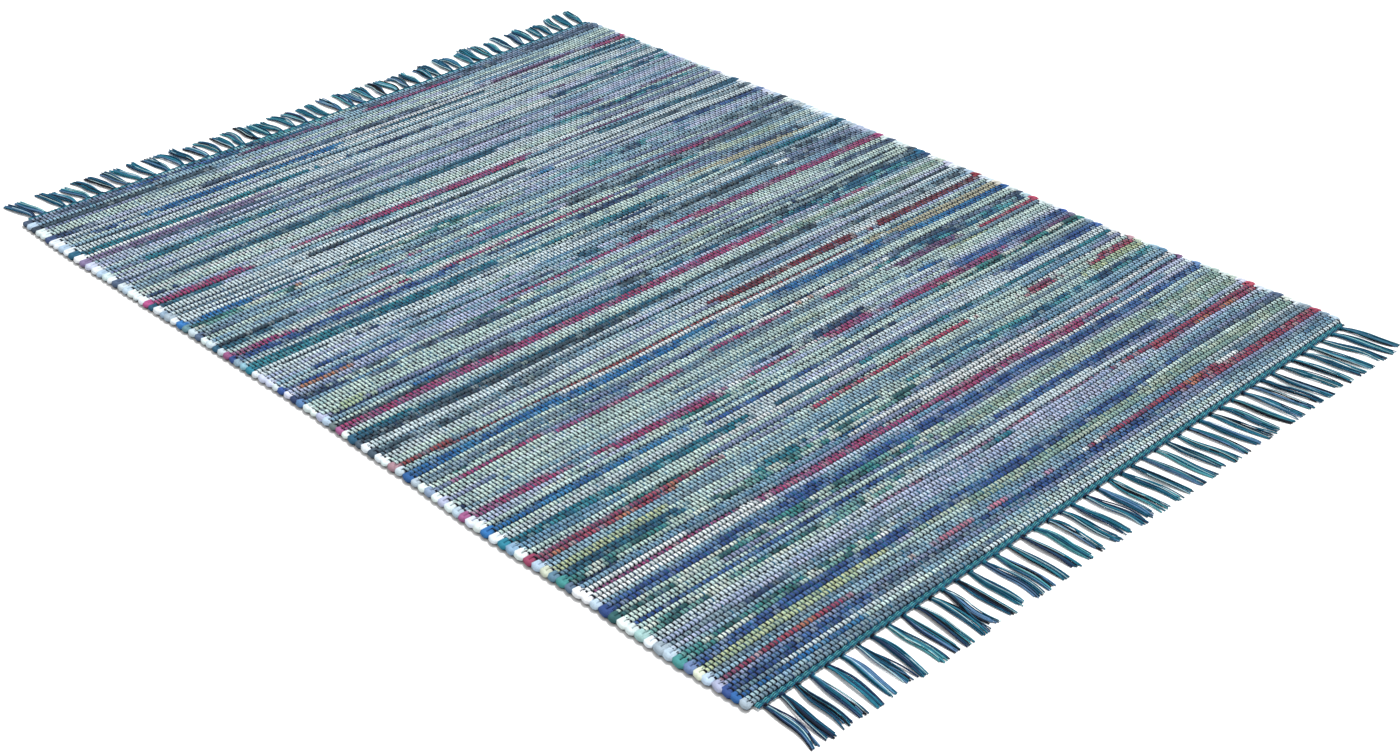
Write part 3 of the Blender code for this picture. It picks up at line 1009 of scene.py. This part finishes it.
def whitened(colour):
    """A loop's colour: the plain side of the rag shows there, so pale rags look nearly white."""
    paleness = (float(colour @ BRIGHTNESS) - LOOP_WHITE_FROM) / LOOP_WHITE_OVER
    share = LOOP_WHITE_SHARE * min(max(paleness, 0), 1)
    return colour + (linear(LOOP_WHITE) - colour) * share


def loop_lines(side, edges, groups, colours):
    """The guide lines of the fat loops on one side, -1 left and 1 right."""
    luck = random.Random(31 + side)
    column = 0 if side < 0 else GROUPS - 1
    first = 0 if side < 0 else 1
    middle = (edges[:-1] + edges[1:]) / 2
    lines, widths, tints = [], [], []
    for pick in range(first, PICKS - 1, 2):
        near, far = middle[pick, column], middle[pick + 1, column]
        share = (near - NEAR_EDGE) / CLOTH_LENGTH
        reach = eased(SELVEDGE_REACH, share, 1 if side < 0 else 2) * MM - LOOP_REACH_UNEVEN * luck.random()
        neck = groups[column, pick]
        root = neck - side * LOOP_ROOT
        half = (far - near) / 2
        thick = min(half * LOOP_FULLNESS * (1 + LOOP_UNEVEN * luck.uniform(-1, 1)), LOOP_THICKEST)
        out = max(reach - thick - LOOP_BOW, LOOP_SHORTEST)
        lean = -LOOP_LEAN * (1 + LOOP_LEAN_UNEVEN * luck.uniform(-1, 1))
        line = [(root, near, LOOP_HEIGHT - LOOP_SINK), (neck, near, LOOP_HEIGHT)]
        width = [thick * LOOP_ROOT_FULLNESS, thick * LOOP_NECK_FULLNESS]
        for step in range(LOOP_STEPS):
            angle = math.pi * (step / (LOOP_STEPS - 1) - 0.5)
            x = neck + side * (out + LOOP_BOW * math.cos(angle))
            y = (near + far) / 2 + LOOP_LONG * half * math.sin(angle) + lean * math.cos(angle)
            line.append((x, y, LOOP_HEIGHT + LOOP_CLIMB * math.sin(angle)))
            width.append(thick * (1 + LOOP_CROWN * math.cos(angle)))
        line += [(neck, far, LOOP_HEIGHT), (root, far, LOOP_HEIGHT - LOOP_SINK)]
        width += [thick * LOOP_NECK_FULLNESS, thick * LOOP_ROOT_FULLNESS]
        lines.append(line)
        widths.append(width)
        tints.append([whitened(colours[pick, column])] * len(line))
    return np.array(lines), np.array(widths), np.array(tints)


def tassel_places(fringe):
    """Where each tassel leaves its heading and where its tip lies, left to right, clear of each other."""
    luck = random.Random(fringe["seed"])
    aside = dict(fringe["set_aside"])
    reach = WARP_WIDTH - 2 * TASSEL_INSET
    roots, tips = [], []
    for number in range(TASSELS):
        share = number / (TASSELS - 1)
        root = -reach / 2 + share * reach + luck.uniform(-1, 1) * fringe["root_stray"]
        root += aside.get(number, 0) * MM
        fan = fringe["fan"][0] + share * (fringe["fan"][1] - fringe["fan"][0])
        roots.append(root)
        tips.append(root + fan + luck.uniform(-1, 1) * fringe["tip_stray"])
    for places, spread in ((roots, 1.0), (tips, 1.0 + LOCK_SPREAD)):
        width = LOCK_WIDTH + (LOCKS - 1) * (LOCK_WIDTH + LOCK_GAP) * spread + 2 * LOCK_UNEVEN
        for number in range(1, TASSELS):
            places[number] = max(places[number], places[number - 1] + width + TASSEL_SPACE)
    return [x + WARP_MIDDLE for x in roots], [x + WARP_MIDDLE for x in tips]


def heading_line(x, end):
    """The y of a heading's inner face at x."""
    if end == "near":
        return np.full(np.shape(x), NEAR_EDGE - HEADING_GAP)
    return NEAR_EDGE + CLOTH_LENGTH + HEADING_GAP - far_bend(x)


def twine_lines(end):
    """The guide lines of a heading's twined yarns, two to a row, which cross once at each warp group."""
    outward = -1 if end == "near" else 1
    luck = random.Random(41)
    count = int(WARP_WIDTH / (2 * GROUP_PITCH) * TWINE_STEPS) + 1
    x = WARP_MIDDLE - WARP_WIDTH / 2 + np.linspace(0, WARP_WIDTH, count)
    lines, tints = [], []
    for row in range(TWINE_ROWS):
        depth = HEADING_DEPTH * (row + 0.5) / TWINE_ROWS
        for strand in range(2):
            angle = 2 * np.pi * np.arange(count) / TWINE_STEPS + math.pi * strand
            y = heading_line(x, end) + outward * (depth + TWINE_THROW * np.cos(angle))
            z = TWINE_HEIGHT + TWINE_THROW * np.sin(angle)
            lines.append(np.stack([x, y, z], axis=-1))
            tone = linear(YARN_COLOURS[TWINE_COLOURS[row][strand]])
            tints.append(np.array([tone * (1 + TWINE_UNEVEN * luck.uniform(-1, 1)) for _ in range(count)]))
    points = np.array(lines)
    return points, np.full(points.shape[:2], TWINE_THICKNESS), np.array(tints)


def tassel_lines(end):
    """The guide lines of a fringe's yarns, in loose bunches that spread from each knot."""
    fringe = FRINGES[end]
    outward = -1 if end == "near" else 1
    luck = random.Random(fringe["seed"] + 1)
    shares = np.linspace(0, 1, YARN_STEPS)
    leaning = 0.5 * shares + 0.5 * shares**2
    opening = np.minimum(1, shares * OPENING) ** OPENING_CURVE
    thinning = np.clip((1 - shares) / TIP_REACH, TIP_THICKNESS, 1)
    bowed, bent = np.sin(math.pi * shares), np.sin(2 * math.pi * shares)
    rising = (1 - shares**4) * np.minimum(1, 0.5 + shares * 3)
    low = fringe["yarn"] * YARN_FLATNESS
    full = fringe["length"] + HEADING_DEPTH * (1 - NECK_DEPTH)
    lines, widths, tints = [], [], []
    for root, tip in zip(*tassel_places(fringe)):
        face = float(heading_line(root, end)) + outward * HEADING_DEPTH * NECK_DEPTH
        cut = luck.uniform(fringe["shortest"], 1.0)
        bow = luck.uniform(-1, 1) * TASSEL_BOW
        bend = luck.uniform(-1, 1) * TASSEL_BEND
        layers = list(range(YARNS))
        luck.shuffle(layers)
        families = [luck.choice(TASSEL_FAMILIES) for _ in range(BUNCHES)]
        # one pale yarn to a tassel, laid on top: a real pale yarn, and also a painted highlight for the
        # tassel's sheen
        pale_highlight_yarn = luck.randrange(YARNS)
        drifts = [luck.uniform(-1, 1) * BUNCH_STRAY for _ in range(BUNCHES)]
        spine = root + (tip - root) * leaning + bow * bowed + bend * bent
        for number in range(YARNS):
            bunch = number * BUNCHES // YARNS
            within = (number % (YARNS // BUNCHES) + 0.5) * BUNCHES / YARNS * 2 - 1
            place = (bunch + 0.5) / BUNCHES * 2 - 1 + within * BUNCH_WIDTH / BUNCHES
            length = full * min(LONGEST, cut * (1 + TIP_UNEVEN * luck.uniform(-1, 1)))
            stray = drifts[bunch] + luck.uniform(-1, 1) * YARN_STRAY
            curl = luck.uniform(-1, 1) * YARN_CURL
            if luck.random() < LOOSE_CHANCE:
                stray += luck.choice((-1, 1)) * LOOSE_STRAY
                curl *= LOOSE_CURL
            curled = curl * np.sin(2 * math.pi * shares + luck.uniform(0, FULL_TURN))
            x = spine + place * (NECK_HALF_WIDTH + fringe["spread"] * opening) + stray * shares**2 + curled
            y = face + outward * length * shares
            layer = 1.0 if number == pale_highlight_yarn else layers[number] / (YARNS - 1)
            z = low + (LAYER_LOW + LAYER_REACH * layer) * rising
            lines.append(np.stack([x, y, z], axis=-1))
            fullness = PALE_HIGHLIGHT_THICKNESS if number == pale_highlight_yarn else 1 + YARN_UNEVEN * luck.uniform(-1, 1)
            widths.append(fringe["yarn"] * fullness * thinning)
            name = "pale" if number == pale_highlight_yarn else luck.choice(families[bunch])
            tone = linear(YARN_COLOURS[name]) * (1 + YARN_TONE_UNEVEN * luck.uniform(-1, 1))
            tints.append(np.tile(tone, (YARN_STEPS, 1)))
    return np.array(lines), np.array(widths), np.array(tints)


def knot_lines(end):
    """The guide lines of the wraps that bind each tassel's neck."""
    fringe = FRINGES[end]
    outward = -1 if end == "near" else 1
    luck = random.Random(fringe["seed"] + 2)
    angles = np.linspace(-KNOT_OVERLAP * math.pi, (1 + KNOT_OVERLAP) * math.pi, KNOT_STEPS)
    lines, widths, tints = [], [], []
    for root in tassel_places(fringe)[0]:
        face = float(heading_line(root, end))
        slant = luck.uniform(-1, 1) * KNOT_SLANT
        for wrap in range(KNOT_WRAPS):
            reach = KNOT_HALF_WIDTH * luck.uniform(*KNOT_WIDTH_UNEVEN)
            place = face + outward * (HEADING_DEPTH + KNOT_START + KNOT_PITCH * wrap)
            x = root + reach * np.cos(angles)
            y = place + slant * np.cos(angles)
            z = KNOT_THICKNESS + KNOT_RISE * np.maximum(np.sin(angles), -0.05)
            lines.append(np.stack([x, y, z], axis=-1))
            widths.append(np.full(KNOT_STEPS, KNOT_THICKNESS * luck.uniform(*KNOT_THICKNESS_UNEVEN)))
            tone = linear(YARN_COLOURS[luck.choice(KNOT_COLOURS)])
            tints.append(np.tile(tone, (KNOT_STEPS, 1)))
    return np.array(lines), np.array(widths), np.array(tints)


def attribute(tree, name):
    """A node that reads a piece's own attribute."""
    node = tree.nodes.new("ShaderNodeAttribute")
    node.attribute_name = name
    return node


def grouped(tree, group, **inputs):
    """A node group placed in a material, with its inputs by name."""
    node = tree.nodes.new("ShaderNodeGroup")
    node.node_tree = group
    for name, value in inputs.items():
        put(tree, node, name, value)
    return node


def math_node(tree, operation, *values):
    """The result of a Math node, from numbers or other nodes' outputs."""
    node = tree.nodes.new("ShaderNodeMath")
    node.operation = operation
    for place, value in enumerate(values):
        put(tree, node, place, value)
    return node.outputs[0]


def mixed(tree, share, colour, other):
    """One colour blended into another by a share."""
    node = tree.nodes.new("ShaderNodeMix")
    node.data_type = "RGBA"
    colours = [socket for socket in node.inputs if socket.type == "RGBA"]
    put(tree, node, 0, share)
    tree.links.new(colour, colours[0])
    colours[1].default_value = (*other, 1.0)
    return [socket for socket in node.outputs if socket.type == "RGBA"][0]


def eased_range(tree, value, low, high, low_out=0.0, high_out=1.0):
    """A value's place between two limits, eased at both."""
    node = add(tree, "ShaderNodeMapRange", Value=value)
    node.interpolation_type = "SMOOTHSTEP"
    put(tree, node, "From Min", low)
    put(tree, node, "From Max", high)
    put(tree, node, "To Min", low_out)
    put(tree, node, "To Max", high_out)
    return node.outputs["Result"]


def new_group(name, inputs, outputs):
    """An empty shader node group with named sockets, and its input node's outputs."""
    tree = bpy.data.node_groups.new(name, "ShaderNodeTree")
    for label, kind in inputs.items():
        tree.interface.new_socket(label, in_out="INPUT", socket_type="NodeSocket" + kind)
    for label, kind in outputs.items():
        tree.interface.new_socket(label, in_out="OUTPUT", socket_type="NodeSocket" + kind)
    return tree, tree.nodes.new("NodeGroupInput").outputs, tree.nodes.new("NodeGroupOutput")


def fibre_group():
    """Spun or torn cotton: an uneven tone, and the height of its fine fibres."""
    inputs = {"Colour": "Color", "Vector": "Vector", "Unevenness": "Float"}
    tree, entry, leave = new_group("cotton_fibre", inputs, {"Colour": "Color", "Height": "Float"})
    blotch = add(tree, "ShaderNodeTexNoise", Vector=entry["Vector"], Scale=BLOTCHES, Detail=3.0)
    fibre = add(tree, "ShaderNodeTexNoise", Vector=entry["Vector"], Scale=FIBRES, Detail=3.0)
    put(tree, fibre, "Roughness", FIBRE_ROUGHNESS)
    both = math_node(tree, "ADD", blotch.outputs["Fac"], fibre.outputs["Fac"])
    stray = math_node(tree, "SUBTRACT", both, 1.0)
    tone = math_node(tree, "MULTIPLY_ADD", stray, entry["Unevenness"], 1.0)
    tinted = tree.nodes.new("ShaderNodeVectorMath")
    tinted.operation = "SCALE"
    put(tree, tinted, 0, entry["Colour"])
    put(tree, tinted, "Scale", tone)
    put(tree, leave, "Colour", tinted.outputs[0])
    put(tree, leave, "Height", fibre.outputs["Fac"])
    return tree


def warp_line_group():
    """The fine warp yarns as a mask over the rag: one at each group, and a fainter one between two groups."""
    inputs = {"Across": "Float", "Vector": "Vector"}
    tree, entry, leave = new_group("fine_warp_yarns", inputs, {"Mask": "Float"})
    sway = add(tree, "ShaderNodeTexNoise", Vector=entry["Vector"], Scale=LINE_SWAYS, Detail=1.0)
    swayed = math_node(tree, "MULTIPLY_ADD", sway.outputs["Fac"], LINE_SWAY, entry["Across"])
    between = math_node(tree, "SUBTRACT", swayed, LINE_SWAY / 2)
    at_group = math_node(tree, "ADD", between, 0.5)
    lines = []
    for place, edge, strength in ((at_group, GROUP_EDGE, GROUP_LINE), (between, BETWEEN_EDGE, BETWEEN_LINE)):
        wave = math_node(tree, "PINGPONG", place, 0.5)
        lines.append(eased_range(tree, wave, *edge, 0.0, strength))
    patchy = add(tree, "ShaderNodeTexNoise", Vector=entry["Vector"], Scale=LINE_PATCHES, Detail=2.0)
    fading = eased_range(tree, patchy.outputs["Fac"], *LINE_FADES, LINE_FADED, 1.0)
    put(tree, leave, "Mask", math_node(tree, "MULTIPLY", math_node(tree, "MAXIMUM", *lines), fading))
    return tree


def painted_hollow_shade_group():
    """A mask of painted shade in the deep grooves between the picks, where little light falls on the rag."""
    tree, entry, leave = new_group("painted_hollow_shade", {"Vector": "Vector"}, {"Mask": "Float"})
    height = add(tree, "ShaderNodeSeparateXYZ", Vector=entry["Vector"]).outputs["Z"]
    put(tree, leave, "Mask", eased_range(tree, height, HOLLOW_SHADE_LOW, HOLLOW_SHADE_HIGH, HOLLOW_SHADE_STRENGTH, 0.0))
    return tree


def start_material(name, roughness):
    """A new matt material, its node tree and its shader."""
    material = bpy.data.materials.new(name)
    material.use_nodes = True
    shader = material.node_tree.nodes["Principled BSDF"]
    shader.inputs["Roughness"].default_value = roughness
    shader.inputs["Specular IOR Level"].default_value = SPECULAR
    return material, material.node_tree, shader


def dress_with(tree, shader, colour, height, bump, reach):
    """Gives a shader its colour, and its bump from a height."""
    relief = add(tree, "ShaderNodeBump", Strength=bump, Distance=reach, Height=height)
    tree.links.new(colour, shader.inputs["Base Color"])
    tree.links.new(relief.outputs["Normal"], shader.inputs["Normal"])


def rag_material(name, with_warp_lines):
    """Torn cotton rag, where asked with the fine warp yarns that lie over it."""
    material, tree, shader = start_material(name, RAG_ROUGHNESS)
    tint = attribute(tree, "tint").outputs["Color"]
    place = add(tree, "ShaderNodeTexCoord").outputs["Object"]
    fibre = grouped(tree, FIBRE, Colour=tint, Vector=place, Unevenness=RAG_UNEVENNESS)
    colour, height = fibre.outputs["Colour"], fibre.outputs["Height"]
    if with_warp_lines:
        across = attribute(tree, "across").outputs["Fac"]
        lines = grouped(tree, WARP_LINES, Across=across, Vector=place)
        colour = mixed(tree, lines.outputs["Mask"], colour, LINE_COLOUR)
        height = math_node(tree, "SUBTRACT", height, lines.outputs["Mask"])
    # painted shade where the rag lies low between the picks
    hollow_shade = grouped(tree, PAINTED_HOLLOW_SHADE, Vector=place)
    colour = mixed(tree, hollow_shade.outputs["Mask"], colour, HOLLOW_SHADE_COLOUR)
    dress_with(tree, shader, colour, height, RAG_BUMP, RAG_BUMP_HEIGHT)
    return material


def cotton_material(name):
    """Spun cotton yarn."""
    material, tree, shader = start_material(name, COTTON_ROUGHNESS)
    tint = attribute(tree, "tint").outputs["Color"]
    place = add(tree, "ShaderNodeTexCoord").outputs["Object"]
    fibre = grouped(tree, FIBRE, Colour=tint, Vector=place, Unevenness=COTTON_UNEVENNESS)
    colour, height = fibre.outputs["Colour"], fibre.outputs["Height"]
    dress_with(tree, shader, colour, height, COTTON_BUMP, COTTON_BUMP_HEIGHT)
    return material


def floor_and_light():
    """A plain pale floor under soft studio light."""
    floor_mesh = bpy.data.meshes.new("floor")
    corners = [(FLOOR_REACH * x, FLOOR_REACH * y, 0) for x, y in ((-1, -1), (1, -1), (1, 1), (-1, 1))]
    floor_mesh.from_pydata(corners, [], [(0, 1, 2, 3)])
    floor = bpy.data.objects.new("floor", floor_mesh)
    bpy.context.scene.collection.objects.link(floor)
    pale, _, shader = start_material("pale_floor", FLOOR_ROUGHNESS)
    shader.inputs["Base Color"].default_value = (FLOOR_GREY, FLOOR_GREY, FLOOR_GREY, 1.0)
    floor_mesh.materials.append(pale)
    world = bpy.data.worlds.new("studio")
    world.use_nodes = True
    nodes = world.node_tree
    backdrop = add(nodes, "ShaderNodeBackground", Color=WHITE, Strength=BACKDROP)
    shared = nodes.nodes.new("ShaderNodeMixShader")
    seen = nodes.nodes.new("ShaderNodeLightPath").outputs["Is Camera Ray"]
    sky = nodes.nodes["Background"]
    sky.inputs["Color"].default_value = WHITE
    sky.inputs["Strength"].default_value = SKY_LIGHT
    put(nodes, shared, 0, seen)
    put(nodes, shared, 1, sky.outputs[0])
    put(nodes, shared, 2, backdrop.outputs[0])
    put(nodes, nodes.nodes["World Output"], "Surface", shared.outputs[0])
    bpy.context.scene.world = world
    key = bpy.data.lights.new("key", "SUN")
    key.energy = KEY_LIGHT
    key.angle = math.radians(KEY_SOFTNESS)
    lamp = bpy.data.objects.new("key", key)
    lamp.location = KEY_PLACE
    lamp.rotation_euler = (-Vector(KEY_PLACE)).to_track_quat("-Z", "Y").to_euler()
    bpy.context.scene.collection.objects.link(lamp)


def photo_camera():
    """A camera at the photo's viewing angle."""
    heading, down = math.radians(CAMERA_HEADING), math.radians(CAMERA_DOWN)
    look = Vector((math.cos(down) * math.cos(heading), math.cos(down) * math.sin(heading), -math.sin(down)))
    right = look.cross(Vector((0, 0, 1))).normalized()
    low = look.cross(right)
    roll = math.radians(CAMERA_ROLL)
    turned_right = math.cos(roll) * right + math.sin(roll) * low
    turned_up = math.sin(roll) * right - math.cos(roll) * low
    data = bpy.data.cameras.new("photo_view")
    data.lens = LENS
    data.sensor_width = SENSOR
    data.clip_start = CAMERA_NEAREST
    data.clip_end = CAMERA_FURTHEST
    camera = bpy.data.objects.new("photo_view", data)
    bpy.context.scene.collection.objects.link(camera)
    axes = Matrix((turned_right, turned_up, -look)).transposed().to_4x4()
    camera.matrix_world = Matrix.Translation(CAMERA_PLACE) @ axes
    bpy.context.scene.camera = camera


def belong(piece):
    """Ties a piece to the rug's one body."""
    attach(piece, "root")
    return piece


TUBE_TREE = tube_tree()
FIBRE = fibre_group()
WARP_LINES = warp_line_group()
PAINTED_HOLLOW_SHADE = painted_hollow_shade_group()
RAG = rag_material("rag", True)
LOOP_RAG = rag_material("loop_rag", False)
COTTON = cotton_material("cotton")

photo_camera()
floor_and_light()
bpy.context.scene.view_settings.view_transform = "Standard"

EDGES = pick_edges()
GROUP_PLACES = group_places()
COLOURS = pick_colours()

pick_points, pick_widths = pick_lines(EDGES, GROUP_PLACES)
# the picks' colours with painted shade in their dips and painted highlights on their crests
painted_shade_colours = with_painted_shade_and_highlight(COLOURS)
panels = []
for number, picks in enumerate(np.array_split(np.arange(PICKS), PANELS), 1):
    panel = tubes(
        f"weft_{number}",
        pick_points[picks],
        pick_widths[picks],
        painted_shade_colours[picks],
        PICK_SIDES,
        PICK_FLATNESS,
        RAG,
        across=np.tile(np.arange(GROUPS), (len(picks), 1)),
        corner_up=False,
    )
    panels.append((belong(panel), picks))
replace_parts(panels[0][0], "rug_cloth")

warp_points, warp_widths, warp_tints = warp_lines(EDGES, GROUP_PLACES, pick_points)
for number, some in enumerate(np.array_split(np.arange(GROUPS), BANDS), 1):
    band = tubes(
        f"warp_{number}",
        warp_points[some],
        warp_widths[some],
        warp_tints[some],
        GROUP_SIDES,
        GROUP_FLATNESS,
        COTTON,
        corner_up=False,
    )
    belong(band)

for side, name in ((-1, "left_loops"), (1, "right_loops")):
    made = tubes(name, *loop_lines(side, EDGES, GROUP_PLACES, COLOURS), LOOP_SIDES, LOOP_FLATNESS, LOOP_RAG)
    belong(made)

for end in ("near", "far"):
    heading = tubes(f"{end}_heading", *twine_lines(end), TWINE_SIDES, 1.0, COTTON)
    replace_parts(belong(heading), f"fringe_{end}")
    tassels = tubes(f"{end}_tassels", *tassel_lines(end), YARN_SIDES, YARN_FLATNESS, COTTON)
    belong(tassels)
    knots = tubes(f"{end}_knots", *knot_lines(end), KNOT_SIDES, KNOT_FLATNESS, COTTON)
    belong(knots)
